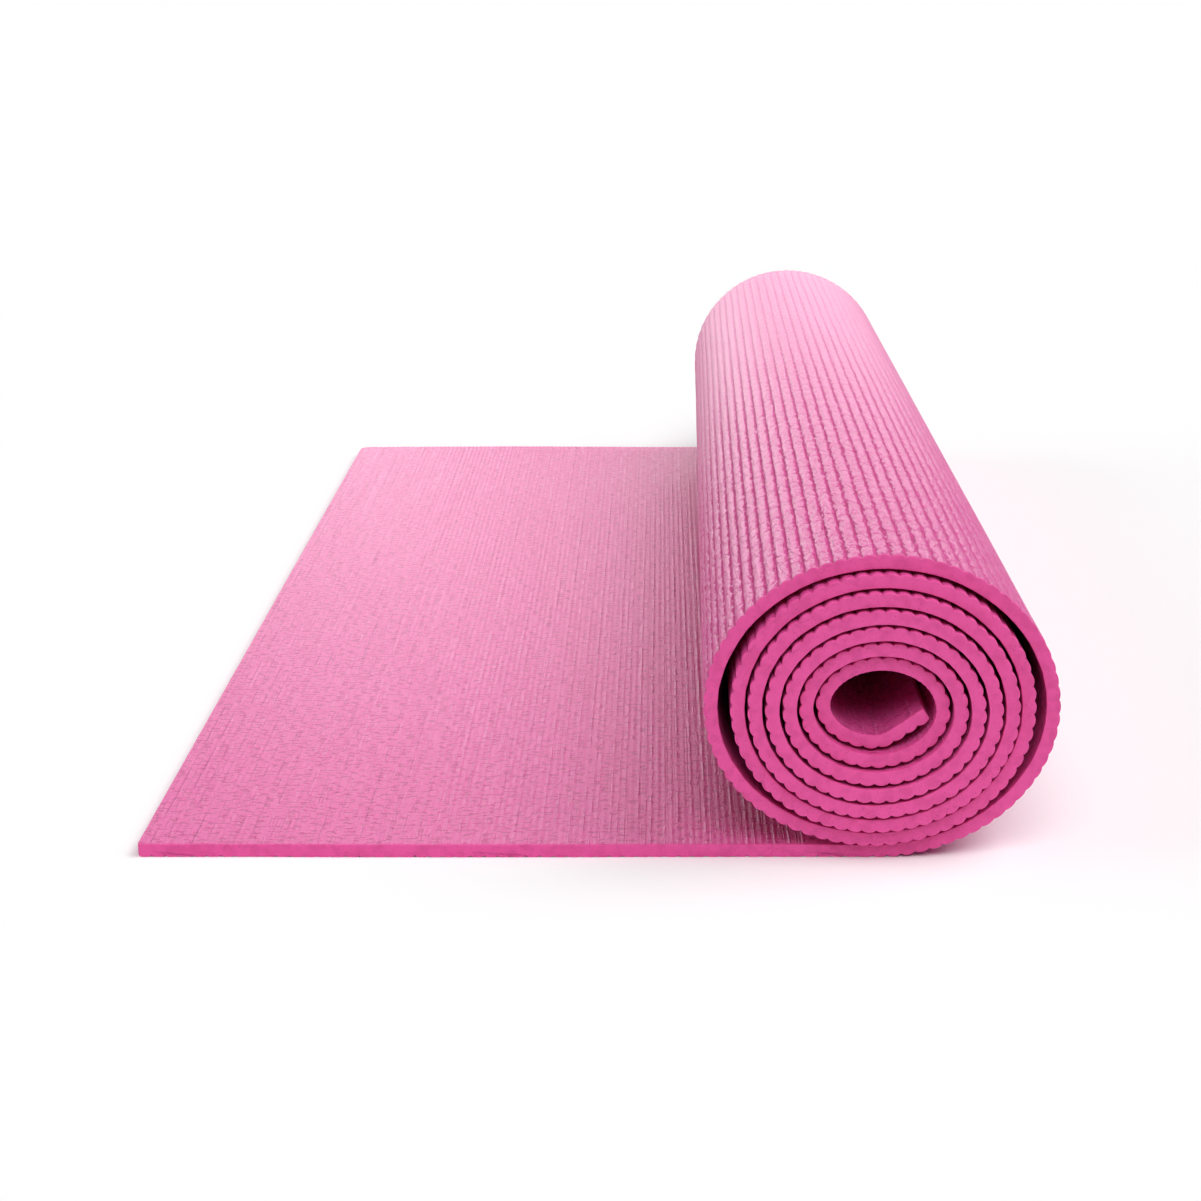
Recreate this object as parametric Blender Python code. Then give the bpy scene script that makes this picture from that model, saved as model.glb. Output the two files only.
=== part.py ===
"""A ribbed foam yoga mat, partly rolled, at its real size.

Metres, +Z up. The flat run lies along X with its bare end at -X, the roll is
at +X, and the mat's width runs along Y. The front edge faces -Y. The origin
is on the floor, in the middle of the mat's footprint.

The mat is one bonded sheet of three layers. Each layer is a closed section,
drawn along the whole path of the mat, and carried from the front edge, where
the roll has slumped into an oval, to the rear edge, where it is still round.
"""
import math

import bmesh
import bpy
import numpy as np

# The sheet and its three layers, from the standing face down
MAT_WIDTH = 0.610
MAT_THICKNESS = 0.0048
FACE_FOAM_THICKNESS = 0.0019
SCRIM_THICKNESS = 0.0003
BOND_CLEARANCE = 0.0003

# The moulded ribs that run across the underside
RIB_PITCH = 0.00453
RIB_DEPTH = 0.0010
RIB_FLANK_SHARE = 0.26
FLOOR_PRESS = 0.0005

# The flat run, and where the roll's lowest line lies at the rear edge
FLAT_RUN = 0.2405
REAR_ROLL_SHIFT = 0.0025

# The wound part: full turns, the air between them and the bore they leave
FULL_TURNS = 7
TURN_GAP = 0.0007
CORE_RADIUS = 0.0119
TURN_STEP_OUT = 0.008

# How far the roll has slumped, and how loose its outer turn hangs
FRONT_SAG = 0.0022
REAR_SAG = 0.0001
FRONT_SLACK = 0.0021
REAR_SLACK = 0.0001

# The free tail inside the roll: it bends up and springs out to the turn around it
TAIL_BEND_RADIUS = 0.008
TAIL_LIFT_DEGREES = 33.0
TAIL_CLEARANCE = 0.0009

# How finely the path is worked out, and how finely a smooth face is cut
PATH_STEPS_PER_TURN = 1440
WOUND_FACETS = 206
TAIL_BEND_FACETS = 3

# Colours and finishes of the layers: (red, green, blue), roughness
FACE_FOAM_FINISH = ((0.83, 0.33, 0.56), 0.72)
SCRIM_FINISH = ((0.78, 0.52, 0.64), 0.85)
BASE_FOAM_FINISH = ((0.74, 0.18, 0.42), 0.68)

TURN_PITCH = MAT_THICKNESS + TURN_GAP
SCRIM_TOP = FACE_FOAM_THICKNESS + BOND_CLEARANCE
SCRIM_BOTTOM = SCRIM_TOP + SCRIM_THICKNESS
BASE_TOP = SCRIM_BOTTOM + BOND_CLEARANCE
FLAT_TOP = MAT_THICKNESS - FLOOR_PRESS


class MatEnd:
    """The path of the mat's standing face, seen on one cut edge of the mat.

    The wound part is given by how far the face's tangent lies from the
    roll's centre, for each direction of the face's outward normal. Turns
    that differ by one pitch in that distance are one pitch apart all round.
    """

    def __init__(self, sag, slack, roll_shift):
        self.sag = sag
        self.slack = slack
        self.centre_x = FLAT_RUN + roll_shift + TURN_PITCH / (2 * math.pi)
        self.centre_z = FLAT_TOP + self.reach(np.array([0.0]))[0]
        self.trace()

    def reach(self, turn):
        """Distance from the roll's centre to the face's tangent."""
        wound = CORE_RADIUS + TURN_PITCH * (FULL_TURNS - turn)
        oval = -self.sag * np.cos(4 * math.pi * turn)
        loose = self.slack * (1 - np.cos(4 * math.pi * turn)) / 2
        return wound + oval + np.where(turn < 1, loose, 0)

    def slope(self, turn):
        """Change of that distance with the normal's angle."""
        swing = np.sin(4 * math.pi * turn)
        loose = np.where(turn < 1, self.slack, 0)
        return -TURN_PITCH / (2 * math.pi) + (2 * self.sag + loose) * swing

    def wound_face(self, turn):
        """Points of the wound face and the angle of its outward normal."""
        angle = 2 * math.pi * turn - math.pi / 2
        reach, slope = self.reach(turn), self.slope(turn)
        x = self.centre_x + reach * np.cos(angle) - slope * np.sin(angle)
        z = self.centre_z + reach * np.sin(angle) + slope * np.cos(angle)
        return x, z, angle

    def tail_bend(self, lift):
        """Points of the tail's bend, after the last full turn."""
        x0, z0, angle0 = self.wound_face(np.array([float(FULL_TURNS)]))
        x = x0 + TAIL_BEND_RADIUS * np.sin(lift)
        z = z0 + TAIL_BEND_RADIUS * (1 - np.cos(lift))
        return x, z, angle0 + lift

    def tail_run(self, x, z, angle):
        """Length of the straight tail that leaves its clearance free."""
        around = self.wound_face(np.linspace(FULL_TURNS - 1, FULL_TURNS, PATH_STEPS_PER_TURN))
        runs = np.linspace(0, 2 * CORE_RADIUS, PATH_STEPS_PER_TURN)
        tip_x = x + MAT_THICKNESS * math.cos(angle) - runs * math.sin(angle)
        tip_z = z + MAT_THICKNESS * math.sin(angle) + runs * math.cos(angle)
        room = np.hypot(tip_x[:, None] - around[0], tip_z[:, None] - around[1]).min(axis=1)
        return runs[max(np.argmax(room < TAIL_CLEARANCE) - 1, 0)]

    def trace(self):
        """Tabulate the whole path against one running number."""
        turn = np.linspace(0, FULL_TURNS, FULL_TURNS * PATH_STEPS_PER_TURN + 1)
        lift = np.linspace(0, math.radians(TAIL_LIFT_DEGREES), PATH_STEPS_PER_TURN)[1:]
        wound = self.wound_face(turn)
        bend = self.tail_bend(lift)
        run = self.tail_run(bend[0][-1], bend[1][-1], bend[2][-1])
        start = (np.array([0.0]), np.array([FLAT_TOP]), wound[2][:1])
        tip = (
            bend[0][-1:] - run * np.sin(bend[2][-1:]),
            bend[1][-1:] + run * np.cos(bend[2][-1:]),
            bend[2][-1:],
        )
        self.x, self.z, self.angle = (np.concatenate(parts) for parts in zip(start, wound, bend, tip))
        neutral = (SCRIM_TOP + SCRIM_BOTTOM) / 2
        steps = np.hypot(
            np.diff(self.x + neutral * np.cos(self.angle)),
            np.diff(self.z + neutral * np.sin(self.angle)),
        )
        self.length = np.concatenate([[0.0], np.cumsum(steps)])
        self.index = np.arange(len(self.x), dtype=float)

    def at(self, index, depth):
        """Points that lie a depth under the standing face, with their turn."""
        angle = np.interp(index, self.index, self.angle)
        x = np.interp(index, self.index, self.x) + depth * np.cos(angle)
        z = np.interp(index, self.index, self.z) + depth * np.sin(angle)
        turn = (angle - self.angle[0]) / (2 * math.pi)
        return x, np.maximum(z, 0), turn


def smooth_stations():
    """Places along the path where a smooth face is cut into facets.

    Even steps in the radius to the power 3/2 leave every facet the same
    rise, so the small inner turns take fewer facets than the outer ones.
    """
    outer = CORE_RADIUS + TURN_PITCH * FULL_TURNS
    radius = np.linspace(outer ** 1.5, CORE_RADIUS ** 1.5, WOUND_FACETS + 1) ** (2 / 3)
    wound = 1 + PATH_STEPS_PER_TURN * (outer - radius) / TURN_PITCH
    bend = np.arange(1, TAIL_BEND_FACETS + 1) * (PATH_STEPS_PER_TURN - 1) / TAIL_BEND_FACETS
    return np.concatenate([[0.0], wound, wound[-1] + bend, [wound[-1] + bend[-1] + 1]])


def ribbed_stations(end):
    """Places and depths of the ribbed underside: valley, crest, crest."""
    total = end.length[-1]
    count = round(total / RIB_PITCH)
    rib = np.arange(count)[:, None]
    share = (rib + np.array([0, RIB_FLANK_SHARE, 1 - RIB_FLANK_SHARE])).ravel() / count
    depth = np.tile([MAT_THICKNESS - RIB_DEPTH, MAT_THICKNESS, MAT_THICKNESS], count)
    share = np.append(share, 1.0)
    depth = np.append(depth, MAT_THICKNESS - RIB_DEPTH)
    return np.interp(share * total, end.length, end.index), depth


def layer_section(front, top_depth, bottom_depth):
    """Closed section of a layer: along its underside, then back along its top."""
    smooth = smooth_stations()
    if bottom_depth is None:
        under, under_depth = ribbed_stations(front)
    else:
        under, under_depth = smooth, np.full(len(smooth), bottom_depth)
    index = np.concatenate([under, smooth[::-1]])
    depth = np.concatenate([under_depth, np.full(len(smooth), top_depth)])
    return index, depth


def ring(end, index, depth, edge_y, centre):
    """The section's corners on one cut edge of the mat, turns stepped out."""
    x, z, turn = end.at(index, depth)
    turns = FULL_TURNS + math.radians(TAIL_LIFT_DEGREES) / (2 * math.pi)
    y = edge_y - TURN_STEP_OUT * np.sin(math.pi * turn / (turns + 1 / 2))
    return np.column_stack([x, y, z]) - centre


def layer_mesh(name, front_ring, rear_ring):
    """Fill the flat section, draw it to the rear and set both its ends."""
    shape = bmesh.new()
    station = shape.verts.layers.int.new("station")
    for number, point in enumerate(front_ring):
        vert = shape.verts.new((point[0], 0, point[2]))
        vert[station] = number
    section = shape.faces.new(shape.verts)
    section.normal_update()
    filled = bmesh.ops.triangulate(shape, faces=[section], ngon_method="EAR_CLIP")["faces"]
    bmesh.ops.extrude_face_region(shape, geom=filled)
    shape.verts.ensure_lookup_table()
    for number, vert in enumerate(shape.verts):
        end_ring = front_ring if number < len(front_ring) else rear_ring
        vert.co = end_ring[vert[station]]
    bmesh.ops.recalc_face_normals(shape, faces=shape.faces)
    mesh = bpy.data.meshes.new(name)
    shape.to_mesh(mesh)
    shape.free()
    return mesh


def foam_material(name, finish):
    """A plain finish for one layer."""
    colour, roughness = finish
    material = bpy.data.materials.new(name)
    material.use_nodes = True
    shader = material.node_tree.nodes["Principled BSDF"]
    shader.inputs["Base Color"].default_value = (*colour, 1)
    shader.inputs["Roughness"].default_value = roughness
    shader.inputs["Metallic"].default_value = 0
    return material


def least_turn_gap(end):
    """Least air between one turn's rib crests and the face of the turn around it."""
    crests, depth = ribbed_stations(end)
    crests = crests[depth == MAT_THICKNESS]
    x, z, turn = end.at(crests, MAT_THICKNESS)
    wound = turn > 1
    face_x, face_z, _ = end.at(smooth_stations(), 0)
    start = np.column_stack([face_x[:-1], face_z[:-1]])
    along = np.column_stack([np.diff(face_x), np.diff(face_z)])
    point = np.column_stack([x[wound], z[wound]])[:, None, :]
    share = ((point - start) * along).sum(axis=2) / (along ** 2).sum(axis=1)
    nearest = start + np.clip(share, 0, 1)[:, :, None] * along
    away = np.hypot(*np.moveaxis(point - nearest, 2, 0))
    far_side = np.abs(share_turns(end, crests[wound])) > 1 / 2
    return away[far_side].min()


def share_turns(end, crests):
    """How many turns lie between each crest and each face facet."""
    crest_turn = end.at(crests, 0)[2]
    face_turn = end.at(smooth_stations(), 0)[2]
    middle = (face_turn[:-1] + face_turn[1:]) / 2
    return crest_turn[:, None] - middle


def build():
    """Model the mat's three layers."""
    for item in list(bpy.data.objects):
        bpy.data.objects.remove(item)
    mat = bpy.data.collections.new("yoga_mat")
    bpy.context.scene.collection.children.link(mat)

    front = MatEnd(FRONT_SAG, FRONT_SLACK, 0)
    rear = MatEnd(REAR_SAG, REAR_SLACK, REAR_ROLL_SHIFT)
    index, depth = layer_section(front, BASE_TOP, None)
    outline = np.vstack([
        ring(front, index, depth, 0, np.zeros(3)),
        ring(rear, index, depth, MAT_WIDTH, np.zeros(3)),
    ])
    centre = (outline.min(axis=0) + outline.max(axis=0)) / 2
    centre[2] = 0

    layers = [
        ("face_foam", 0, FACE_FOAM_THICKNESS, FACE_FOAM_FINISH),
        ("scrim", SCRIM_TOP, SCRIM_BOTTOM, SCRIM_FINISH),
        ("base_foam", BASE_TOP, None, BASE_FOAM_FINISH),
    ]
    for name, top_depth, bottom_depth, finish in layers:
        index, depth = layer_section(front, top_depth, bottom_depth)
        mesh = layer_mesh(
            name,
            ring(front, index, depth, 0, centre),
            ring(rear, index, depth, MAT_WIDTH, centre),
        )
        mesh.materials.append(foam_material(name, finish))
        mat.objects.link(bpy.data.objects.new(name, mesh))

    print(f"mat length {front.length[-1]:.4f} m")
    for place, end in (("front", front), ("rear", rear)):
        print(f"least gap between turns at the {place} {least_turn_gap(end) * 1000:.3f} mm")


build()
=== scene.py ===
"""Looks of a ribbed foam yoga mat, partly rolled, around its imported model.

Metres, +Z up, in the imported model's frame. The mat is one sheet of three
bonded layers. Each surface of a layer is the mat's path at a depth under the
standing face, carried across the mat's width, with the relief that the mould
pressed into that surface added to the depth.
"""
import logging
import math
from dataclasses import dataclass, field
from enum import Enum

import bpy
import numpy as np
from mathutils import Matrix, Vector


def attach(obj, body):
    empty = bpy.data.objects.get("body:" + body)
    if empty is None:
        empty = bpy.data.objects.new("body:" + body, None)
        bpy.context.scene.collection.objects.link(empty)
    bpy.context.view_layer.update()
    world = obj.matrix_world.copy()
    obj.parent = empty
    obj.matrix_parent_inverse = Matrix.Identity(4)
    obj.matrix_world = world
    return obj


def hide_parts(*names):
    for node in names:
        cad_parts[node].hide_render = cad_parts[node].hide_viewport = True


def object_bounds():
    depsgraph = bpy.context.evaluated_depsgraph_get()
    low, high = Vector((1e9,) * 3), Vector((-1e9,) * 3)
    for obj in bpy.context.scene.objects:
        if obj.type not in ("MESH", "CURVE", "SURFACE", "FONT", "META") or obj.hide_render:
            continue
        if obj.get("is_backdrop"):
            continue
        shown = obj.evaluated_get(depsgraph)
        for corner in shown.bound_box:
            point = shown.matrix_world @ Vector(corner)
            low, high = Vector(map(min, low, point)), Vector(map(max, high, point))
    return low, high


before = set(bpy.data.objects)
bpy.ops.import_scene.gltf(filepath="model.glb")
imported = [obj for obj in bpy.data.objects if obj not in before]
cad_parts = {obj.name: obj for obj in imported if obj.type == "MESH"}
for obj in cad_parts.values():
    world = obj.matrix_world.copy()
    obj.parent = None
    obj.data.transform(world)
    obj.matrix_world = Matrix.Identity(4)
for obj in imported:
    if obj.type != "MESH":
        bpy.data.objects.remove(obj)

LOG = logging.getLogger("yoga_mat")

Array = np.ndarray
Colour = tuple[float, float, float]
Grain = tuple[float, float, float]
Point = tuple[float, float, float]
Socket = bpy.types.NodeSocket
MM = 0.001

# Places of points near an end of the mat, where its corners are rounded
END_PLACES = np.array([0, 0.06, 0.15, 0.3, 0.6, 1.0, 1.5, 2.2, 3.0, 4.0, 5.0, 5.8]) * MM
# Places of points near a cut edge, and where even steps take over
EDGE_PLACES = np.array([0, 0.04, 0.12, 0.25, 1.2]) * MM
EVEN_FROM = 5 * MM
# Places of points in a bold rib, as shares of its step, where it is seen and elsewhere
SEEN_RIB = np.array([0, 0.05, 0.13, 0.26, 0.42, 0.58, 0.74, 0.87, 0.95])
HIDDEN_RIB = np.array([0, 0.1, 0.28, 0.5, 0.72, 0.9])
# Full turns wound where the underside goes out of sight
UNDERSIDE_SEEN_TO = 1.12
# Full turns wound where the standing face goes out of sight, and is seen again in the eye
FACE_SEEN_TO = 0.12
FACE_SEEN_FROM = 5.95
# Where the camera stands from the flat run's front corner
CAMERA_FROM_CORNER = (0.1682, -0.704, 0.2899)


class Relief(Enum):
    """What a surface of a layer is pressed against in the making."""

    EMBOSSED = "fine uneven ribs of the standing face"
    BONDED = "the next layer"
    RIBBED = "bold cross ribs of the underside"


@dataclass(frozen=True)
class MatSizes:
    """Sizes of the mat, in metres, as packed, but for a tail that reaches further."""

    width: float = 0.610
    thickness: float = 0.0048
    scrim_top: float = 0.0022
    scrim_bottom: float = 0.0025
    rib_pitch: float = 0.00453
    rib_depth: float = 0.0010
    floor_press: float = 0.0005
    flat_run: float = 0.2405
    turn_gap: float = 0.0007
    core_radius: float = 0.0119
    full_turns: int = 7
    step_out: float = 0.008
    tail_bend_radius: float = 0.008
    tail_lift: float = math.radians(35.0)
    tail_clearance: float = 0.0004
    steps_per_turn: int = 1440

    @property
    def turn_pitch(self) -> float:
        """Distance from one turn to the next, in metres."""
        return self.thickness + self.turn_gap

    @property
    def flat_top(self) -> float:
        """Height of the flat run's standing face, in metres."""
        return self.thickness - self.floor_press


@dataclass(frozen=True)
class RibShape:
    """Shape of the bold and the fine ribs, and how far use has worn the bold ones."""

    crown_power: float = 0.7
    crown_uneven: float = 0.1
    crown_dip: float = 0.05 * MM
    front_kept: float = 0.95
    rear_loss: float = 0.58
    handled_loss: float = 0.45
    handled_turns: tuple[float, ...] = (0.0, 0.12, 0.36, 0.56)
    fine_depth: float = 0.09 * MM
    fine_even: float = 0.8
    fine_uneven: float = 0.4


def new_material(name: str) -> bpy.types.Material:
    """Start a material that is drawn with nodes.

    Args:
        name: The material's name.

    Returns:
        The material, with a plain shader.
    """
    material = bpy.data.materials.new(name)
    material.use_nodes = True
    return material


def soft_noise(along: Array, across: Array, seed: int, cells: int = 96) -> Array:
    """Smooth random heights between -1 and 1.

    Random numbers stand on a square lattice, and the height between them is
    their mean, weighted by 3t squared less 2t cubed along each axis.

    Args:
        along: First coordinate, in lattice cells.
        across: Second coordinate, in lattice cells.
        seed: Which set of random numbers is used.
        cells: After how many cells the lattice repeats.

    Returns:
        Heights in the common shape of the two coordinates.
    """
    lattice = np.random.default_rng(seed).uniform(-1, 1, (cells, cells))
    column, row = np.floor(along).astype(int), np.floor(across).astype(int)
    u, v = along - column, across - row
    u, v = u * u * (3 - 2 * u), v * v * (3 - 2 * v)
    low = lattice[column % cells, row % cells] * (1 - u)
    low = low + lattice[(column + 1) % cells, row % cells] * u
    high = lattice[column % cells, (row + 1) % cells] * (1 - u)
    high = high + lattice[(column + 1) % cells, (row + 1) % cells] * u
    return low * (1 - v) + high * v


def worn_edge(distance: Array, radius: float) -> Array:
    """Depth that a rounded edge lies under its face.

    A quarter circle: the radius less the root of its square less the square
    of how far the point lies inside it.

    Args:
        distance: Distance from the cut edge along the face, in metres.
        radius: Radius of the rounding, in metres.

    Returns:
        Depth of the rounding, in metres, zero away from the edge.
    """
    inside = np.clip(radius - distance, 0, radius)
    return radius - np.sqrt(radius ** 2 - inside ** 2)


@dataclass
class RollEnd:
    """Path of the standing face, seen on one cut edge of the mat.

    The wound part is given by the distance of the face's tangent from the
    roll's centre, for each direction of the face's outward normal.
    """

    sizes: MatSizes
    sag: float
    slack: float
    shift: float
    loose_droop: float = 0.02
    loose_growth: float = 0.1
    x: Array = field(init=False, repr=False)
    z: Array = field(init=False, repr=False)
    angle: Array = field(init=False, repr=False)
    length: Array = field(init=False, repr=False)
    index: Array = field(init=False, repr=False)

    def __post_init__(self) -> None:
        """Tabulate the path: flat run, full turns, the tail's bend, its tip."""
        sizes = self.sizes
        steps = sizes.steps_per_turn
        lift = np.linspace(0, sizes.tail_lift, steps)[1:]
        wound = self.wound(np.linspace(0, sizes.full_turns, sizes.full_turns * steps + 1))
        bend = self.tail_bend(lift)
        run = self.tail_run(bend[0][-1], bend[1][-1], bend[2][-1])
        start = (np.array([0.0]), np.array([sizes.flat_top]), wound[2][:1])
        tip = (
            bend[0][-1:] - run * np.sin(bend[2][-1:]),
            bend[1][-1:] + run * np.cos(bend[2][-1:]),
            bend[2][-1:],
        )
        self.x, self.z, self.angle = (np.concatenate(part) for part in zip(start, wound, bend, tip))
        neutral = (sizes.scrim_top + sizes.scrim_bottom) / 2
        stretch = np.hypot(
            np.diff(self.x + neutral * np.cos(self.angle)),
            np.diff(self.z + neutral * np.sin(self.angle)),
        )
        self.length = np.concatenate([[0.0], np.cumsum(stretch)])
        self.index = np.arange(len(self.x), dtype=float)

    def loose(self, turn: Array) -> tuple[Array, Array]:
        """How far the loose first turn stands off, and its slope.

        Half of the slack, times one less the cosine of two waves in the turn,
        whose crests droop a little on both sides, times a weight that grows
        along the turn.

        Args:
            turn: Full turns since the roll's lowest line.

        Returns:
            The distances, in metres, and their change in metres a radian.
        """
        place = np.minimum(turn, 1)
        drooped = place + self.loose_droop * np.sin(2 * math.pi * place)
        pace = 1 + 2 * math.pi * self.loose_droop * np.cos(2 * math.pi * place)
        weight = 1 + self.loose_growth * (2 * place - 1)
        wave = (1 - np.cos(4 * math.pi * drooped)) / 2
        stand_off = self.slack * wave * weight
        growth = self.loose_growth * wave / math.pi
        slope = self.slack * (pace * np.sin(4 * math.pi * drooped) * weight + growth)
        return stand_off, np.where(turn < 1, slope, 0)

    def reach(self, turn: Array) -> Array:
        """Distance of the face's tangent from the roll's centre.

        The core's radius and a pitch for each turn further in, less the sag
        times the cosine of two waves a turn, plus the loose turn's stand-off.

        Args:
            turn: Full turns since the roll's lowest line.

        Returns:
            The distances, in metres.
        """
        sizes = self.sizes
        wound = sizes.core_radius + sizes.turn_pitch * (sizes.full_turns - turn)
        return wound - self.sag * np.cos(4 * math.pi * turn) + self.loose(turn)[0]

    def slope(self, turn: Array) -> Array:
        """Change of the reach with the normal's angle, in metres a radian."""
        even = -self.sizes.turn_pitch / (2 * math.pi)
        return even + 2 * self.sag * np.sin(4 * math.pi * turn) + self.loose(turn)[1]

    def wound(self, turn: Array) -> tuple[Array, Array, Array]:
        """Points of the wound face.

        A point is the centre, plus the reach along the normal, plus the
        reach's slope along the tangent.

        Args:
            turn: Full turns since the roll's lowest line.

        Returns:
            The points' x and z and the angle of their outward normal.
        """
        sizes = self.sizes
        angle = 2 * math.pi * turn - math.pi / 2
        reach, slope = self.reach(turn), self.slope(turn)
        centre_x = sizes.flat_run + self.shift + sizes.turn_pitch / (2 * math.pi)
        centre_z = sizes.flat_top + self.reach(np.array([0.0]))[0]
        x = centre_x + reach * np.cos(angle) - slope * np.sin(angle)
        z = centre_z + reach * np.sin(angle) + slope * np.cos(angle)
        return x, z, angle

    def tail_bend(self, lift: Array) -> tuple[Array, Array, Array]:
        """Points of the arc in which the tail leaves the last full turn.

        Args:
            lift: Angles along the arc, in radians.

        Returns:
            The points' x and z and the angle of their outward normal.
        """
        x0, z0, angle0 = self.wound(np.array([float(self.sizes.full_turns)]))
        x = x0 + self.sizes.tail_bend_radius * np.sin(lift)
        z = z0 + self.sizes.tail_bend_radius * (1 - np.cos(lift))
        return x, z, angle0 + lift

    def tail_run(self, x: float, z: float, angle: float) -> float:
        """Length of the straight tail, up to its clearance from the turn around it.

        The longest run whose lower corner keeps that clearance.

        Args:
            x: Where the tail's bend ends, in metres.
            z: How high the tail's bend ends, in metres.
            angle: Angle of the outward normal there, in radians.

        Returns:
            The length, in metres.
        """
        sizes = self.sizes
        steps = sizes.steps_per_turn
        around = self.wound(np.linspace(sizes.full_turns - 1, sizes.full_turns, steps))
        runs = np.linspace(0, 2 * sizes.core_radius, steps)
        tip_x = x + sizes.thickness * math.cos(angle) - runs * math.sin(angle)
        tip_z = z + sizes.thickness * math.sin(angle) + runs * math.cos(angle)
        room = np.hypot(tip_x[:, None] - around[0], tip_z[:, None] - around[1]).min(axis=1)
        return float(runs[max(int(np.argmax(room < sizes.tail_clearance)) - 1, 0)])


@dataclass
class MatPath:
    """The whole mat's path, between its front and its rear cut edge."""

    sizes: MatSizes
    front: RollEnd
    rear: RollEnd
    corner: tuple[float, float]
    front_corner_radius: float = 0.0018
    rear_corner_radius: float = 0.0055
    edge_waver: float = 0.00025
    rear_lift: float = 0.0009
    lift_wave: float = 0.085
    ribs: RibShape = RibShape()

    @property
    def length(self) -> float:
        """Length of the mat along its neutral line, in metres."""
        return float(self.front.length[-1])

    @property
    def rib_step(self) -> float:
        """Distance from one bold rib to the next along the mat, in metres."""
        return self.length / round(self.length / self.sizes.rib_pitch)

    def index_at(self, run: Array) -> Array:
        """Running number of the path at each length along the mat."""
        return np.interp(run, self.front.length, self.front.index)

    def turn_at(self, run: Array) -> Array:
        """Full turns since the roll's lowest line, at each length along the mat."""
        angle = np.interp(self.index_at(run), self.front.index, self.front.angle)
        return (angle - self.front.angle[0]) / (2 * math.pi)

    def run_at(self, turn: float) -> float:
        """Length along the mat at which the given number of turns is wound."""
        index = 1 + turn * self.sizes.steps_per_turn
        return float(np.interp(index, self.front.index, self.front.length))

    def across(self, run: Array, rows: Array) -> Array:
        """Place of each row across the mat, drawn in at the rounded corners.

        Near the bare end the cut edges follow a quarter circle in plan.

        Args:
            run: Lengths along the mat, in metres.
            rows: Places across a straight mat, in metres.

        Returns:
            Places across the mat, one row of them for each length.
        """
        front = worn_edge(run, self.front_corner_radius)[:, None]
        rear = worn_edge(run, self.rear_corner_radius)[:, None]
        share = rows[None, :] / self.sizes.width
        return rows[None, :] + front * (1 - share) - rear * share

    def place(self, run: Array, across: Array, depth: Array) -> Array:
        """Points of a surface that lies a depth under the standing face.

        A point is the mix of the front and the rear path, by its place across
        the mat, each with the depth added along its outward normal. Nothing
        goes below the floor, the turns step out towards the front edge as the
        sine of their place in the roll, the cut edges waver, and the flat run
        lifts a little towards its rear edge.

        Args:
            run: Lengths along the mat, one for each station.
            across: Places across the mat, for each station and row.
            depth: Depths under the standing face, for each station and row.

        Returns:
            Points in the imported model's frame, by station and row.
        """
        index = self.index_at(run)
        ends = []
        for end in (self.front, self.rear):
            angle = np.interp(index, end.index, end.angle)[:, None]
            x = np.interp(index, end.index, end.x)[:, None] + depth * np.cos(angle)
            z = np.interp(index, end.index, end.z)[:, None] + depth * np.sin(angle)
            ends.append((x, np.maximum(z, 0)))
        share = across / self.sizes.width
        (front_x, front_z), (rear_x, rear_z) = ends
        x = front_x * (1 - share) + rear_x * share
        z = front_z * (1 - share) + rear_z * share
        turn = self.turn_at(run)[:, None]
        turns = self.sizes.full_turns + self.sizes.tail_lift / (2 * math.pi)
        step = self.sizes.step_out * np.sin(math.pi * turn / (turns + 1 / 2))
        waver = self.edge_waver * soft_noise(run[:, None] / (35 * MM), across / (300 * MM), 5)
        flat = np.clip(1 - run[:, None] / self.sizes.flat_run, 0, 1)
        wave = 1 + soft_noise(run[:, None] / self.lift_wave, across / (120 * MM), 8)
        lift = self.rear_lift * share ** 2 * wave / 2 * flat * (1 - flat) * 4
        points = np.stack([x, across - step + waver, z + lift], axis=-1)
        return points + np.array([*self.corner, 0])


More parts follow.
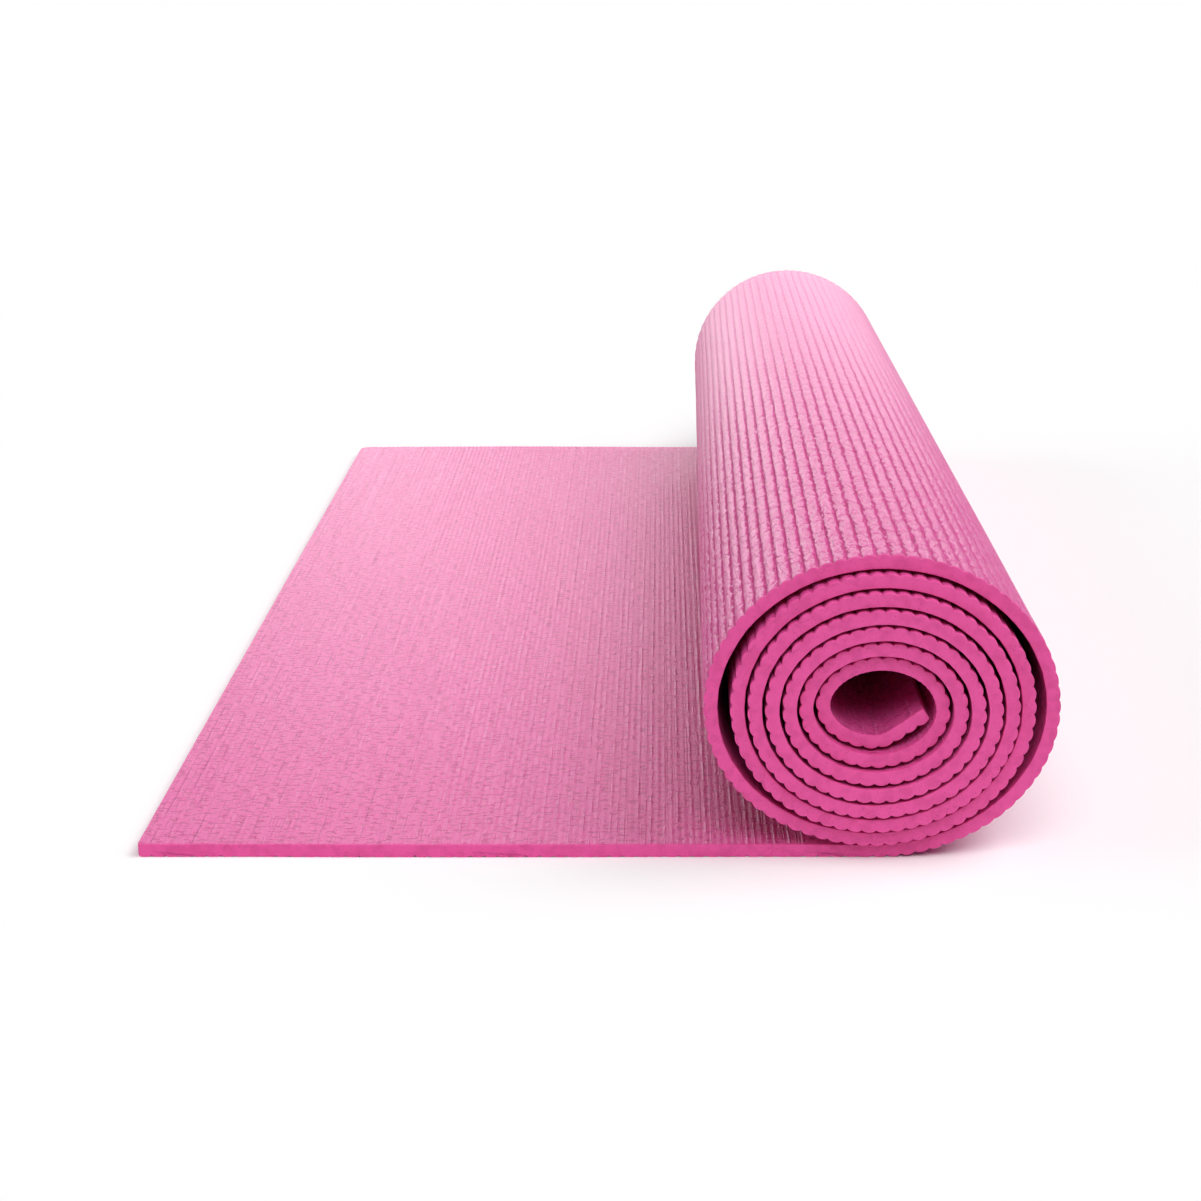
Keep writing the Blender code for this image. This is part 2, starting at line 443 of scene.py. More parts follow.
@dataclass(frozen=True)
class Surface:
    """One surface of a layer: its depth and its relief."""

    depth: float
    relief: Relief
    edge_radius: float = 0.00025

    def stations(self, path: MatPath) -> Array:
        """Lengths along the mat at which the surface has points.

        Bold ribs take a fixed pattern of points in each rib, close together
        in the groove. Fine ribs take even steps where they can be seen. The
        rest takes steps that leave every facet the same rise.

        Args:
            path: The mat's path.

        Returns:
            Rising lengths, in metres, from the bare end to the tail's tip.
        """
        sizes = path.sizes
        parts = [END_PLACES, path.length - END_PLACES[:4]]
        if self.relief is Relief.RIBBED:
            count = round(path.length / path.rib_step)
            seen = math.ceil(path.run_at(UNDERSIDE_SEEN_TO) / path.rib_step)
            outer = np.arange(sizes.flat_run // sizes.rib_pitch, seen)[:, None] + SEEN_RIB
            first = np.arange(outer.min() // 1)[:, None] + HIDDEN_RIB
            last = np.arange(seen, count)[:, None] + HIDDEN_RIB
            parts += [ribs.ravel() * path.rib_step for ribs in (first, outer, last)]
        else:
            outer_radius = sizes.core_radius + sizes.turn_pitch * sizes.full_turns
            each_turn = 60 if self.relief is Relief.EMBOSSED else 36
            count = each_turn * sizes.full_turns
            radius = np.linspace(outer_radius ** 1.5, sizes.core_radius ** 1.5, count) ** (2 / 3)
            turn = (outer_radius - radius) / sizes.turn_pitch
            smooth = np.interp(1 + turn * sizes.steps_per_turn, path.front.index, path.front.length)
            tail = np.linspace(smooth[-1], path.length, 9)
            parts += [smooth, tail]
        if self.relief is Relief.EMBOSSED:
            step = sizes.rib_pitch / 10
            parts += [
                np.arange(0, path.run_at(FACE_SEEN_TO), step),
                np.arange(path.run_at(FACE_SEEN_FROM), path.length, step),
            ]
        if self.relief is Relief.BONDED:
            parts.append(np.linspace(0, sizes.flat_run, 12))
        together = np.unique(np.concatenate(parts))
        apart = np.concatenate([[True], np.diff(together) > 0.02 * MM])
        return together[apart]

    def pressed(self, path: MatPath, run: Array, across: Array) -> Array:
        """Depth that the mould has pressed into the foam.

        A bold rib is the sine of its phase, to a power that keeps its crown
        broad and its groove narrow. It is worn softer towards the rear, and
        again on the right of the outer turn, where the roll is handled. The
        fine ribs are a cosine with two waves to each bold rib, deeper in some
        places than in others.

        Args:
            path: The mat's path.
            run: Lengths along the mat, for each station.
            across: Places across the mat, for each station and row.

        Returns:
            Depth into the foam, in metres, for each station and row.
        """
        ribs = path.ribs
        along = run[:, None] / path.rib_step
        if self.relief is Relief.RIBBED:
            crown = np.abs(np.sin(math.pi * along)) ** ribs.crown_power
            from_rib_to_rib = soft_noise(np.floor(along) * 1.7, across / (32 * MM), 21)
            uneven = 1 - ribs.crown_uneven + ribs.crown_uneven * from_rib_to_rib
            dip = ribs.crown_dip * (1 + soft_noise(along / 3, across / (45 * MM), 23))
            side = [path.run_at(turn) for turn in ribs.handled_turns]
            handled = np.interp(run, side, [0, 1, 1, 0])[:, None]
            kept = ribs.front_kept - ribs.rear_loss * across / path.sizes.width
            kept = kept * (1 - ribs.handled_loss * handled)
            return kept * path.sizes.rib_depth * (1 - crown * uneven) + dip
        if self.relief is Relief.EMBOSSED:
            from_place_to_place = soft_noise(along * 0.9, across / (40 * MM), 31)
            uneven = ribs.fine_even + ribs.fine_uneven * from_place_to_place
            return ribs.fine_depth * (1 - np.cos(4 * math.pi * along)) * uneven
        return np.zeros_like(across)

    def grid(self, path: MatPath, rows: Array, outward: int) -> tuple[Array, Array, Array]:
        """Points of the surface, with the edges of an outer skin rounded.

        Args:
            path: The mat's path.
            rows: Places across a straight mat, in metres.
            outward: The sign of depth that leads out of the foam.

        Returns:
            Lengths of the stations, places across, and points.
        """
        run = self.stations(path)
        across = path.across(run, rows)
        depth = np.full_like(across, self.depth)
        if self.relief is not Relief.BONDED:
            sides = np.minimum(across - across[:, :1], across[:, -1:] - across)
            tips = np.minimum(run, path.length - run)[:, None]
            inset = worn_edge(np.minimum(sides, tips), self.edge_radius)
            depth = depth - outward * (self.pressed(path, run, across) + inset)
        return run, across, path.place(run, across, depth)


@dataclass
class Layer:
    """One layer of the mat, a closed sheet between two surfaces."""

    name: str
    path: MatPath
    upper: Surface
    lower: Surface
    spans: int
    node: str
    rests_on: tuple[str, ...] = ()
    rim_width: float = 0.00028
    piece: bpy.types.Object = field(init=False)

    def rows(self) -> Array:
        """Places across the mat, close together at the rounded edges.

        Returns:
            The places, in metres from the front edge.
        """
        width = self.path.sizes.width
        inner = np.linspace(EVEN_FROM, width - EVEN_FROM, self.spans)
        return np.concatenate([EDGE_PLACES, inner, width - EDGE_PLACES[::-1]])

    @staticmethod
    def net(count: int, rows: int, first: int) -> Array:
        """Four-sided faces of a grid of points.

        Args:
            count: How many stations the grid has.
            rows: How many points each station has.
            first: Number of the first vertex.

        Returns:
            Vertex numbers of the faces, by station and row.
        """
        number = first + np.arange(count * rows).reshape(count, rows)
        corners = (number[:-1, :-1], number[1:, :-1], number[1:, 1:], number[:-1, 1:])
        return np.stack(corners, axis=-1).reshape(-1, 4)

    @staticmethod
    def zipped(one: Array, other: Array, one_run: Array, other_run: Array) -> Array:
        """Triangles that close the strip between two lines of points.

        The points of both lines are taken in the order of their length along
        the mat. Each new point makes a triangle with the point before it on
        its own line and the last point reached on the other line.

        Args:
            one: Vertex numbers of the first line.
            other: Vertex numbers of the second line.
            one_run: Lengths along the mat of the first line's points.
            other_run: Lengths along the mat of the second line's points.

        Returns:
            Vertex numbers of the triangles, all turned the same way.
        """
        side = np.repeat([0, 1], [len(one) - 1, len(other) - 1])
        place = np.concatenate([np.arange(1, len(one)), np.arange(1, len(other))])
        order = np.argsort(np.concatenate([one_run[1:], other_run[1:]]), kind="stable")
        side, place = side[order], place[order]
        on_one = np.maximum.accumulate(np.where(side == 0, place, 0))
        on_other = np.maximum.accumulate(np.where(side == 1, place, 0))
        first = np.where(side == 0, one[np.maximum(on_one - 1, 0)], one[on_one])
        third = np.where(side == 0, other[on_other], other[np.maximum(on_other - 1, 0)])
        second = np.where(side == 0, one[on_one], other[on_other])
        return np.stack([first, second, third], axis=-1)

    def build(self) -> bpy.types.Object:
        """Make the layer's mesh: two skins, two cut edges and two ends.

        Returns:
            The layer's object, in the scene.
        """
        rows = self.rows()
        count = len(rows)
        upper_run, upper_across, upper_points = self.upper.grid(self.path, rows, -1)
        lower_run, lower_across, lower_points = self.lower.grid(self.path, rows, 1)
        shift = upper_points.shape[0] * count
        upper_number = np.arange(shift).reshape(-1, count)
        lower_number = shift + np.arange(lower_points.shape[0] * count).reshape(-1, count)
        skins = np.concatenate([
            self.net(len(upper_run), count, 0),
            self.net(len(lower_run), count, shift)[:, ::-1],
        ])
        rim = (rows[:-1] < self.rim_width) | (rows[1:] > self.path.sizes.width - self.rim_width)
        outer = [surface.relief is not Relief.BONDED for surface in (self.upper, self.lower)]
        rimmed = np.concatenate([
            np.tile(rim & outer[0], len(upper_run) - 1),
            np.tile(rim & outer[1], len(lower_run) - 1),
        ])
        cuts = [
            self.zipped(upper_number[:, 0], lower_number[:, 0], upper_run, lower_run)[:, ::-1],
            self.zipped(upper_number[:, -1], lower_number[:, -1], upper_run, lower_run),
        ]
        ends = []
        for station, turned in ((0, 1), (-1, -1)):
            top, bottom = upper_number[station], lower_number[station]
            corners = np.stack([top[:-1], top[1:], bottom[1:], bottom[:-1]], axis=-1)
            ends.append(corners[:, ::turned])
        quads = np.concatenate([skins, *ends])
        triangles = np.concatenate(cuts)
        points = np.concatenate([upper_points.reshape(-1, 3), lower_points.reshape(-1, 3)])
        mesh = bpy.data.meshes.new(self.name)
        mesh.from_pydata(points.tolist(), [], quads.tolist() + triangles.tolist())
        is_flat = np.ones(len(mesh.polygons), dtype=bool)
        is_flat[:len(skins)] = False
        is_cut = is_flat.copy()
        is_cut[:len(skins)] = rimmed
        sheet_place = np.concatenate([
            self.sheet_places(upper_run, upper_across),
            self.sheet_places(lower_run, lower_across),
        ])
        self.finish_mesh(mesh, is_cut, is_flat, sheet_place)
        self.piece = bpy.data.objects.new(self.name, mesh)
        bpy.context.scene.collection.objects.link(self.piece)
        return self.piece

    @staticmethod
    def sheet_places(run: Array, across: Array) -> Array:
        """Length along and place across the mat of each point, in metres."""
        along = np.broadcast_to(run[:, None], across.shape)
        return np.stack([along, across], axis=-1).reshape(-1, 2)

    @staticmethod
    def finish_mesh(
        mesh: bpy.types.Mesh, is_cut: Array, is_flat: Array, sheet_place: Array
    ) -> None:
        """Give the mesh its finishes' slots, its smooth skins and its UV map.

        Args:
            mesh: The layer's mesh.
            is_cut: Which faces are cut foam and not moulded skin.
            is_flat: Which faces lie in the cut and meet the skins sharply.
            sheet_place: Length along and place across the mat of each vertex.
        """
        mesh.polygons.foreach_set("material_index", is_cut.astype(np.int32))
        mesh.polygons.foreach_set("use_smooth", ~is_flat)
        corner_vertex = np.empty(len(mesh.loops), dtype=np.int32)
        corner_edge = np.empty(len(mesh.loops), dtype=np.int32)
        sides = np.empty(len(mesh.polygons), dtype=np.int32)
        mesh.loops.foreach_get("vertex_index", corner_vertex)
        mesh.loops.foreach_get("edge_index", corner_edge)
        mesh.polygons.foreach_get("loop_total", sides)
        flat_corner = np.repeat(is_flat, sides)
        touches = np.zeros((2, len(mesh.edges)), dtype=bool)
        touches[0, corner_edge[flat_corner]] = True
        touches[1, corner_edge[~flat_corner]] = True
        sharp = mesh.attributes.new("sharp_edge", "BOOLEAN", "EDGE")
        sharp.data.foreach_set("value", touches.all(axis=0))
        sheet_map = mesh.uv_layers.new(name="sheet")
        sheet_map.data.foreach_set("uv", sheet_place[corner_vertex].ravel())
        mesh.update()

    def dress(self, skin: bpy.types.Material, cut: bpy.types.Material) -> None:
        """Give the layer its finishes, hang it on the root body and hide the part it stands for.

        Args:
            skin: Finish of the moulded skins.
            cut: Finish of the cut edges and the ends.
        """
        self.piece.data.materials.append(skin)
        self.piece.data.materials.append(cut)
        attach(self.piece, "root")
        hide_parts(self.node)
        flat = (self.path.sizes.width, self.path.length)


class NodeBoard:
    """Puts shader nodes on one board and joins them."""

    def __init__(self, tree: bpy.types.NodeTree) -> None:
        """Take the board of a material or of the sky."""
        self.tree = tree

    @property
    def shader(self) -> bpy.types.Node:
        """The material's shader."""
        return self.tree.nodes["Principled BSDF"]

    def add(self, kind: str, **settings: object) -> bpy.types.Node:
        """Add a node.

        Args:
            kind: The node's kind.
            **settings: Its properties.

        Returns:
            The node.
        """
        node = self.tree.nodes.new(f"ShaderNode{kind}")
        for name, value in settings.items():
            setattr(node, name, value)
        return node

    def join(self, source: Socket, target: Socket) -> None:
        """Lead one socket into another."""
        self.tree.links.new(source, target)

    def stretched(self, source: Socket, grain: Grain) -> Socket:
        """Stretch coordinates to a grain.

        Args:
            source: Coordinates in metres.
            grain: What becomes one unit along each axis, in metres.

        Returns:
            The stretched coordinates.
        """
        mapping = self.add("Mapping", vector_type="POINT")
        mapping.inputs["Scale"].default_value = tuple(1 / size for size in grain)
        self.join(source, mapping.inputs["Vector"])
        return mapping.outputs["Vector"]

    def noise(
        self, source: Socket, grain: Grain, detail: float, roughness: float = 0.5
    ) -> Socket:
        """Random heights.

        Args:
            source: Coordinates in metres.
            grain: Size of the heights along each axis, in metres.
            detail: How many finer sets are added.
            roughness: Strength of each finer set.

        Returns:
            Heights from 0 to 1.
        """
        node = self.add("TexNoise", noise_dimensions="3D")
        node.inputs["Scale"].default_value = 1.0
        node.inputs["Detail"].default_value = detail
        node.inputs["Roughness"].default_value = roughness
        self.join(self.stretched(source, grain), node.inputs["Vector"])
        return node.outputs["Fac"]

    def ramp(
        self, source: Socket, low: float, high: float, to_low: float = 0.0, to_high: float = 1.0
    ) -> Socket:
        """Spread a range of values smoothly over a new range.

        Args:
            source: The values.
            low: Start of their range.
            high: End of their range.
            to_low: Start of the new range.
            to_high: End of the new range.

        Returns:
            The new values.
        """
        node = self.add("MapRange", interpolation_type="SMOOTHSTEP")
        limits = {"From Min": low, "From Max": high, "To Min": to_low, "To Max": to_high}
        for name, value in limits.items():
            node.inputs[name].default_value = value
        self.join(source, node.inputs["Value"])
        return node.outputs["Result"]

    def groove_distance(self, source: Socket, step: float) -> Socket:
        """Distance along the sheet from the nearest groove.

        Args:
            source: Place on the sheet, in metres.
            step: Distance from one groove to the next, in metres.

        Returns:
            The distance, in metres.
        """
        split = self.add("SeparateXYZ")
        self.join(source, split.inputs["Vector"])
        fold = self.add("Math", operation="PINGPONG")
        fold.inputs[1].default_value = step / 2
        self.join(split.outputs["X"], fold.inputs[0])
        return fold.outputs["Value"]

    def product(self, one: Socket, other: Socket) -> Socket:
        """Multiply two values.

        Args:
            one: The first value.
            other: The second value.

        Returns:
            The product.
        """
        node = self.add("Math", operation="MULTIPLY")
        self.join(one, node.inputs[0])
        self.join(other, node.inputs[1])
        return node.outputs["Value"]

    def total(self, *parts: tuple[Socket, float], start: float = 0.0) -> Socket:
        """Add up several values.

        Args:
            *parts: The values, each with its weight.
            start: What they are added to.

        Returns:
            The sum.
        """
        last = None
        for socket, weight in parts:
            node = self.add("Math", operation="MULTIPLY_ADD")
            node.inputs[1].default_value = weight
            node.inputs[2].default_value = start
            self.join(socket, node.inputs[0])
            if last is not None:
                self.join(last, node.inputs[2])
            last = node.outputs["Value"]
        return last

    def blend(self, factor: Socket, one: Colour | Socket, other: Colour) -> Socket:
        """Mix two colours.

        Args:
            factor: Share of the second colour.
            one: The first colour, plain or from a node.
            other: The second colour.

        Returns:
            The mixed colour.
        """
        node = self.add("Mix", data_type="RGBA")
        self.join(factor, node.inputs["Factor"])
        slot = node.inputs[6]
        if isinstance(one, tuple):
            slot.default_value = (*one, 1)
        else:
            self.join(one, slot)
        node.inputs[7].default_value = (*other, 1)
        return node.outputs[2]

    def paint(self, colour: Socket) -> None:
        """Lead a colour into the shader."""
        self.join(colour, self.shader.inputs["Base Color"])

    def raise_skin(self, height: Socket, strength: float, distance: float) -> None:
        """Lead a height into the shader's normal.

        Args:
            height: The height, from 0 to 1.
            strength: How strongly it shows.
            distance: The height of one, in metres.
        """
        bump = self.add("Bump")
        bump.inputs["Strength"].default_value = strength
        bump.inputs["Distance"].default_value = distance
        self.join(height, bump.inputs["Height"])
        self.join(bump.outputs["Normal"], self.shader.inputs["Normal"])

    def set(self, **values: float) -> None:
        """Set the shader's own sockets, by names with their blanks underlined."""
        for name, value in values.items():
            self.shader.inputs[name.replace("_", " ")].default_value = value


@dataclass(frozen=True)
class StandingSkin:
    """Skin one stands on: straight fine ribs with a woven look."""

    name: str
    colour: Colour
    # Paler colour of the threads, a painted highlight
    thread_highlight_colour: Colour
    # Darker colour of the dents, painted shade
    dent_shade_colour: Colour
    rib_step: float
    thread_grain: Grain = (3.5 * MM, 12 * MM, 1.0)
    stray_grain: Grain = (0.8 * MM, 400 * MM, 1.0)
    weft_grain: Grain = (3.2 * MM, 1.5 * MM, 1.0)
    foam_grain: Grain = (0.9 * MM, 1.2 * MM, 1.0)
    relief: float = 0.36 * MM
    roughness: float = 0.42
    gloss: float = 0.2

    def material(self) -> bpy.types.Material:
        """Make the finish.

        Broken threads run along the fine ribs, and stray ones beside them.
        They stand up a little and are paler, a painted highlight. Dents cross
        them and are darker, painted shade, and the rest is a fine grain.

        Returns:
            The material.
        """
        material = new_material(self.name)
        board = NodeBoard(material.node_tree)
        sheet = board.add("UVMap", uv_map="sheet").outputs["UV"]
        distance = board.groove_distance(sheet, self.rib_step)
        line = board.ramp(distance, 0.15 * MM, 0.45 * MM, 1.0, 0.0)
        dash = board.ramp(board.noise(sheet, self.thread_grain, 1.0), 0.44, 0.56)
        stray = board.ramp(board.noise(sheet, self.stray_grain, 0.0), 0.54, 0.64)
        thread = board.product(board.total((line, 1.0), (stray, 0.8)), dash)
        weft = board.ramp(board.noise(sheet, self.weft_grain, 0.0), 0.56, 0.66)
        grain = board.ramp(board.noise(sheet, self.foam_grain, 2.0, 0.6), 0.36, 0.56)
        height = board.total((thread, 0.4), (weft, -0.45), (grain, 0.2))
        board.raise_skin(height, 1.0, self.relief)
        # Painted highlight: the threads are mixed towards a paler colour
        pale = board.total((thread, 0.6))
        body = board.blend(pale, self.colour, self.thread_highlight_colour)
        # Painted shade: the dents, and a little of the whole skin, are mixed towards a darker
        # colour, less where the grain is high
        deep = board.total((weft, 0.5), (grain, -0.15), start=0.15)
        board.paint(board.blend(deep, body, self.dent_shade_colour))
        board.set(Roughness=self.roughness, Specular_IOR_Level=self.gloss)
        return material


@dataclass(frozen=True)
class RibbedSkin:
    """Skin of the underside: broad ribs with ragged grooves between them."""

    name: str
    colour: Colour
    # Darker colour of the grooves and dents, painted shade
    groove_shade_colour: Colour
    rib_step: float
    handled_to: float
    handled_fade: float = 0.08
    handled_kept: float = 0.4
    rear_fade: tuple[float, float] = (0.1, 0.45)
    rear_kept: float = 0.18
    crumb_grain: Grain = (1.2 * MM, 5 * MM, 1.0)
    dent_grain: Grain = (3 * MM, 8 * MM, 1.0)
    foam_grain: Grain = (1.1 * MM, 4.5 * MM, 1.0)
    relief: float = 0.5 * MM
    roughness: float = 0.42
    groove_matt: float = 0.45
    gloss: float = 0.2

    def material(self) -> bpy.types.Material:
        """Make the finish.

        A groove is as wide as crumbs of foam leave it. Short dents cross the
        crests of the ribs. Both are painted darker, as painted shade. Both are
        worn away towards the rear, and on the right of the outer turn, with
        their painted shade. The grooves are duller than the crests.

        Returns:
            The material.
        """
        material = new_material(self.name)
        board = NodeBoard(material.node_tree)
        sheet = board.add("UVMap", uv_map="sheet").outputs["UV"]
        crumb = board.noise(sheet, self.crumb_grain, 3.0, 0.65)
        distance = board.groove_distance(sheet, self.rib_step)
        edge = board.total((distance, 1 / self.rib_step), (crumb, 0.9), start=-0.45)
        place = board.add("SeparateXYZ")
        board.join(sheet, place.inputs["Vector"])
        rear = board.ramp(place.outputs["Y"], *self.rear_fade, 1.0, self.rear_kept)
        fade = (self.handled_to, self.handled_to + self.handled_fade)
        side = board.ramp(place.outputs["X"], *fade, self.handled_kept, 1.0)
        kept = board.product(rear, side)
        groove = board.product(board.ramp(edge, 0.05, 0.17, 1.0, 0.0), kept)
        dent = board.ramp(board.noise(sheet, self.dent_grain, 1.0), 0.5, 0.57)
        dent = board.product(dent, kept)
        grain = board.ramp(board.noise(sheet, self.foam_grain, 2.0, 0.6), 0.36, 0.56)
        height = board.total((groove, -0.4), (dent, -0.55), (grain, 0.3))
        board.raise_skin(height, 1.0, self.relief)
        # Painted shade: grooves and dents are mixed towards a darker colour
        deep = board.total((groove, 0.4), (dent, 0.25))
        board.paint(board.blend(deep, self.colour, self.groove_shade_colour))
        matt = board.total((groove, self.groove_matt), start=self.roughness)
        board.join(matt, board.shader.inputs["Roughness"])
        board.set(Specular_IOR_Level=self.gloss)
        return material


@dataclass(frozen=True)
class CutFinish:
    """Foam where the mat is cut: deep pink, with fine open cells."""

    name: str
    colour: Colour
    cell_colour: Colour
    cell_grain: Grain = (0.5 * MM, 0.5 * MM, 0.5 * MM)
    scuff_grain: Grain = (4 * MM, 4 * MM, 4 * MM)
    relief: float = 0.12 * MM
    roughness: float = 0.6
    gloss: float = 0.3

    def material(self) -> bpy.types.Material:
        """Make the finish.

        Small cells read the place in space, so they run on over every turn.

        Returns:
            The material.
        """
        material = new_material(self.name)
        board = NodeBoard(material.node_tree)
        place = board.add("TexCoord").outputs["Object"]
        cells = board.noise(place, self.cell_grain, 2.0, 0.6)
        scuffs = board.noise(place, self.scuff_grain, 1.0)
        open_cell = board.ramp(cells, 0.3, 0.46)
        board.raise_skin(board.total((open_cell, 0.7), (scuffs, 0.5)), 0.8, self.relief)
        scuffed = board.ramp(scuffs, 0.4, 0.7, 0.0, 0.22)
        body = board.blend(scuffed, self.colour, self.cell_colour)
        dark = board.ramp(cells, 0.22, 0.42, 0.6, 0.0)
        board.paint(board.blend(dark, body, self.cell_colour))
        board.set(Roughness=self.roughness, Specular_IOR_Level=self.gloss)
        return material


@dataclass(frozen=True)
class SoftLight:
    """A lamp with a wide face that looks at the mat."""

    name: str
    place: Point
    target: Point
    power: float
    size: float = 0.0
    spread: float = 0.0

    def hang(self) -> bpy.types.Object:
        """Hang the lamp in the room.

        A lamp with a size is a square panel near the mat, which only makes
        its surfaces gleam. One with a spread shines from far off along the
        same line, looks that wide from the mat, and lights the floor evenly.

        Returns:
            The lamp's object.
        """
        lamp = bpy.data.lights.new(self.name, "AREA" if self.size else "SUN")
        lamp.energy = self.power
        if self.size:
            lamp.size = self.size
        else:
            lamp.angle = self.spread
        holder = bpy.data.objects.new(self.name, lamp)
        aim = np.array(self.target) - np.array(self.place)
        flat = math.hypot(aim[0], aim[1])
        holder.location = self.place
        holder.rotation_euler = (math.atan2(flat, -aim[2]), 0, math.atan2(-aim[0], aim[1]))
        holder.visible_camera = False
        holder.visible_diffuse = not self.size
        bpy.context.scene.collection.objects.link(holder)
        return holder


@dataclass(frozen=True)
class Studio:
    """Pale floor, soft lights and the camera."""

    camera_place: Point
    soft_lights: tuple[SoftLight, ...] = (
        SoftLight("right_light", (1.54, 0.0, 1.97), (0.0, 0.0, 0.0), 1.7, spread=math.radians(41)),
        SoftLight("front_light", (0.0, -1.45, 1.95), (0.0, 0.0, 0.0), 1.75, spread=math.radians(41)),
        SoftLight("left_light", (-2.0, 0.0, 0.75), (0.0, 0.0, 0.0), 0.7, spread=math.radians(40)),
        SoftLight("rear_light", (-0.04, 0.9, 0.3), (0.0, 0.1, 0.0), 1.65, size=0.4),
        SoftLight("rear_left_light", (-0.36, 0.9, 0.3), (-0.1, 0.1, 0.0), 2.1, size=0.42),
        SoftLight("rear_right_light", (0.32, 0.9, 0.32), (0.05, 0.1, 0.05), 1.6, size=0.36),
    )
    even_sky: float = 0.08
    seen_sky: float = 0.98
    floor_paleness: float = 0.97
    floor_radius: float = 40.0
    floor_rings: int = 12
    floor_sectors: int = 48
    floor_drop: float = 0.1 * MM
    camera_pitch: float = math.radians(16.06)
    focal_pixels: float = 2315.0
    frame_pixels: float = 1201.0
    vanishing_offset: float = 51.5
    sensor: float = 36.0

    def floor(self) -> bpy.types.Object:
        """Lay a wide pale floor under the mat.

        A grid of points in even steps of the angle round the mat and of the
        root of the distance, so it is one round sheet.

        Returns:
            The floor's object.
        """
        rings = np.linspace(0, 1, self.floor_rings)[1:] ** 2 * self.floor_radius
        angles = np.linspace(0, 2 * math.pi, self.floor_sectors, endpoint=False)
        ring, angle = np.meshgrid(rings, angles, indexing="ij")
        height = np.full(ring.shape, -self.floor_drop)
        grid = np.stack([ring * np.cos(angle), ring * np.sin(angle), height], axis=-1)
        points = grid.reshape(-1, 3)
        number = np.arange(ring.size).reshape(ring.shape)
        turned = np.roll(number, -1, axis=1)
        quads = np.stack([number[:-1], number[1:], turned[1:], turned[:-1]], axis=-1).reshape(-1, 4)
        mesh = bpy.data.meshes.new("studio_floor")
        mesh.from_pydata(points.tolist(), [], quads.tolist() + [number[0].tolist()])
        paint = new_material("floor_paint")
        shade = (self.floor_paleness, self.floor_paleness, self.floor_paleness, 1)
        NodeBoard(paint.node_tree).set(Base_Color=shade, Roughness=1.0, Specular_IOR_Level=0.0)
        mesh.materials.append(paint)
        floor = bpy.data.objects.new("studio_floor", mesh)
        bpy.context.scene.collection.objects.link(floor)
        floor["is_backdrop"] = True
        return floor

    def sky(self) -> None:
        """Light the room faintly from everywhere, and show it as pale as the floor."""
        world = bpy.data.worlds.new("studio_sky")
        world.use_nodes = True
        board = NodeBoard(world.node_tree)
        background = board.tree.nodes["Background"].inputs
        background["Color"].default_value = (1, 1, 1, 1)
        seen = board.add("LightPath").outputs["Is Camera Ray"]
        strength = board.total((seen, self.seen_sky - self.even_sky), start=self.even_sky)
        board.join(strength, background["Strength"])
        bpy.context.scene.world = world

    def lights(self) -> None:
        """Hang the soft lights round the mat."""
        self.sky()
        for light in self.soft_lights:
            light.hang()
        bpy.context.scene.view_settings.view_transform = "Standard"

    def camera(self) -> bpy.types.Object:
        """Set the camera where the photograph was taken from.

        Returns:
            The camera's object.
        """
        lens = bpy.data.cameras.new("camera")
        lens.sensor_width = self.sensor
        lens.lens = self.focal_pixels / self.frame_pixels * self.sensor
        lens.shift_x = -self.vanishing_offset / self.frame_pixels
        lens.clip_start = 0.01
        lens.clip_end = 200
        camera = bpy.data.objects.new("camera", lens)
        camera.location = self.camera_place
        camera.rotation_euler = (math.pi / 2 - self.camera_pitch, 0, 0)
        bpy.context.scene.collection.objects.link(camera)
        bpy.context.scene.camera = camera
        return camera


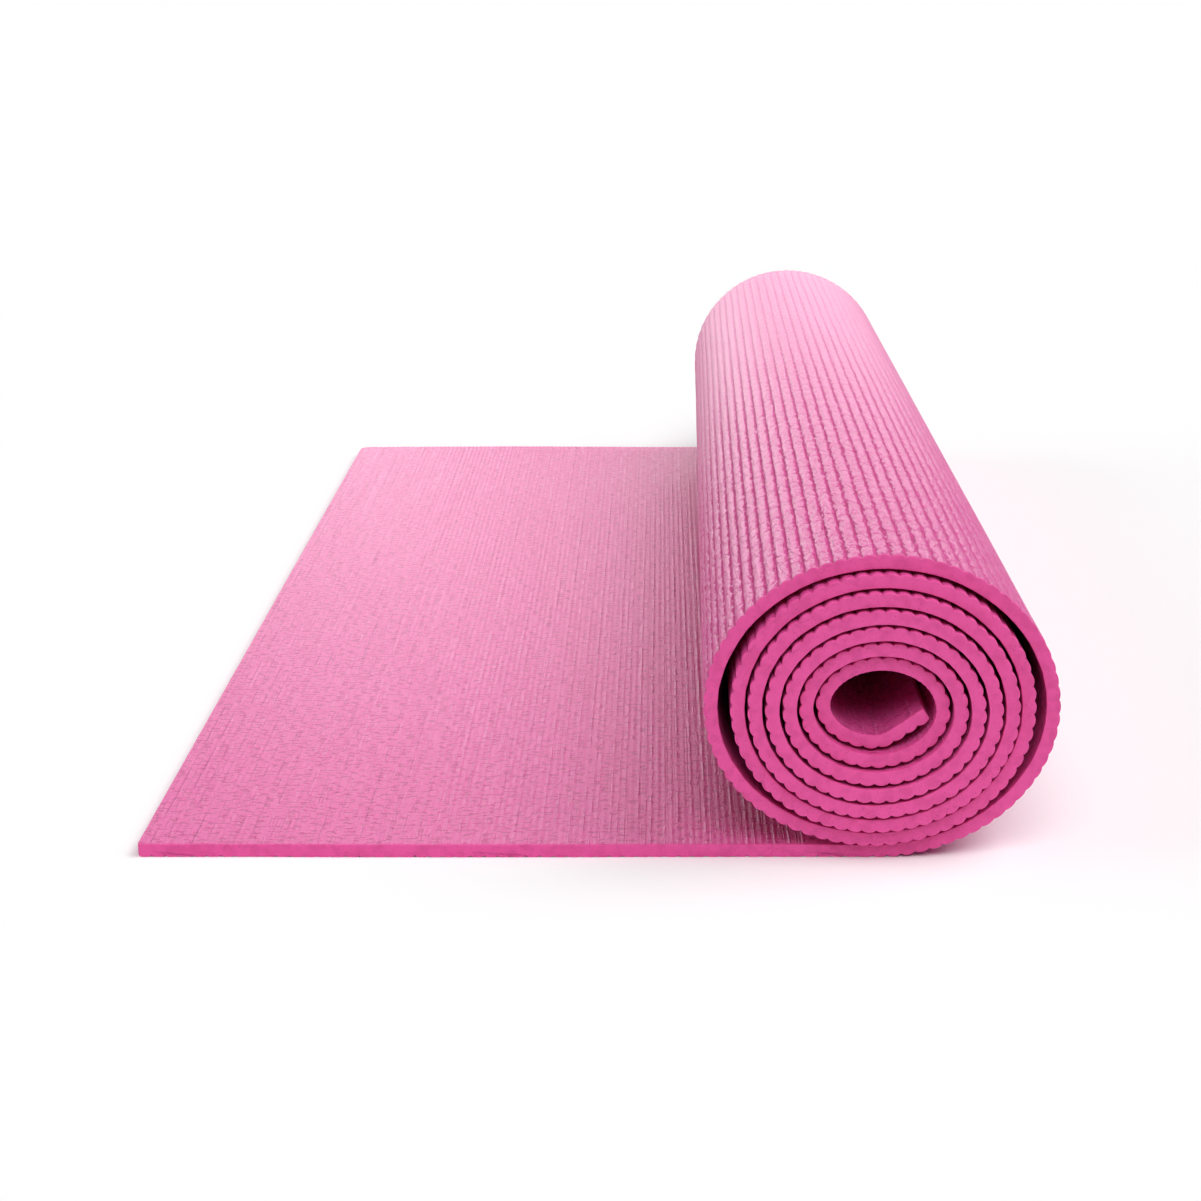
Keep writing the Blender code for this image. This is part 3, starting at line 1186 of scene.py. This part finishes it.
@dataclass
class YogaMat:
    """The mat's three layers, from the standing face down."""

    path: MatPath

    def layers(self) -> list[Layer]:
        """Plan the three layers.

        Returns:
            The layers, with their surfaces, not yet built.
        """
        sizes = self.path.sizes
        standing = Surface(0.0, Relief.EMBOSSED)
        upper_bond = Surface(sizes.scrim_top, Relief.BONDED)
        lower_bond = Surface(sizes.scrim_bottom, Relief.BONDED)
        underside = Surface(sizes.thickness, Relief.RIBBED)
        return [
            Layer(
                "face_foam_sheet", self.path, standing, upper_bond,
                spans=38, node="face_foam", rests_on=("scrim_net",),
            ),
            Layer(
                "scrim_net", self.path, upper_bond, lower_bond,
                spans=6, node="scrim", rests_on=("base_foam_sheet",),
            ),
            Layer(
                "base_foam_sheet", self.path, lower_bond, underside,
                spans=22, node="base_foam",
            ),
        ]

    def build(self) -> None:
        """Make and dress every layer."""
        cut = CutFinish(
            "cut_foam", colour=(0.79, 0.088, 0.34), cell_colour=(0.43, 0.02, 0.13)
        ).material()
        standing = StandingSkin(
            "standing_skin",
            colour=(0.73, 0.09, 0.345),
            # The threads' paler colour is a painted highlight, and the dents' darker colour is
            # painted shade
            thread_highlight_colour=(0.80, 0.17, 0.44),
            dent_shade_colour=(0.45, 0.025, 0.15),
            rib_step=self.path.rib_step,
        ).material()
        ribbed = RibbedSkin(
            "ribbed_skin",
            colour=(0.72, 0.09, 0.345),
            # The grooves' darker colour is painted shade
            groove_shade_colour=(0.58, 0.045, 0.22),
            rib_step=self.path.rib_step,
            handled_to=self.path.run_at(0.33),
        ).material()
        skins = {"face_foam": standing, "scrim": cut, "base_foam": ribbed}
        for layer in self.layers():
            piece = layer.build()
            layer.dress(skins[layer.node], cut)
            triangles = sum(len(face.vertices) - 2 for face in piece.data.polygons)
            LOG.info("%s: %d triangles", piece.name, triangles)


def as_lists(box: tuple) -> list[list[float]]:
    """A box's two corners as plain lists of numbers."""
    return [[float(value) for value in corner] for corner in box]


def main() -> None:
    """Build the mat, the studio and the camera."""
    logging.basicConfig(level=logging.INFO, format="%(name)s: %(message)s")
    packed_box = as_lists(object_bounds())
    sizes = MatSizes()
    corner = (packed_box[0][0], packed_box[0][1] + sizes.step_out)
    path = MatPath(
        sizes,
        RollEnd(sizes, sag=0.0022, slack=0.0029, shift=-0.0007),
        RollEnd(sizes, sag=0.0001, slack=0.0001, shift=0.0025),
        corner,
    )
    LOG.info("mat length %.4f m", path.length)
    YogaMat(path).build()
    away_x, away_y, height = CAMERA_FROM_CORNER
    studio = Studio((corner[0] + away_x, corner[1] + away_y, height))
    studio.floor()
    studio.lights()
    studio.camera()


if __name__ == "__main__":
    main()
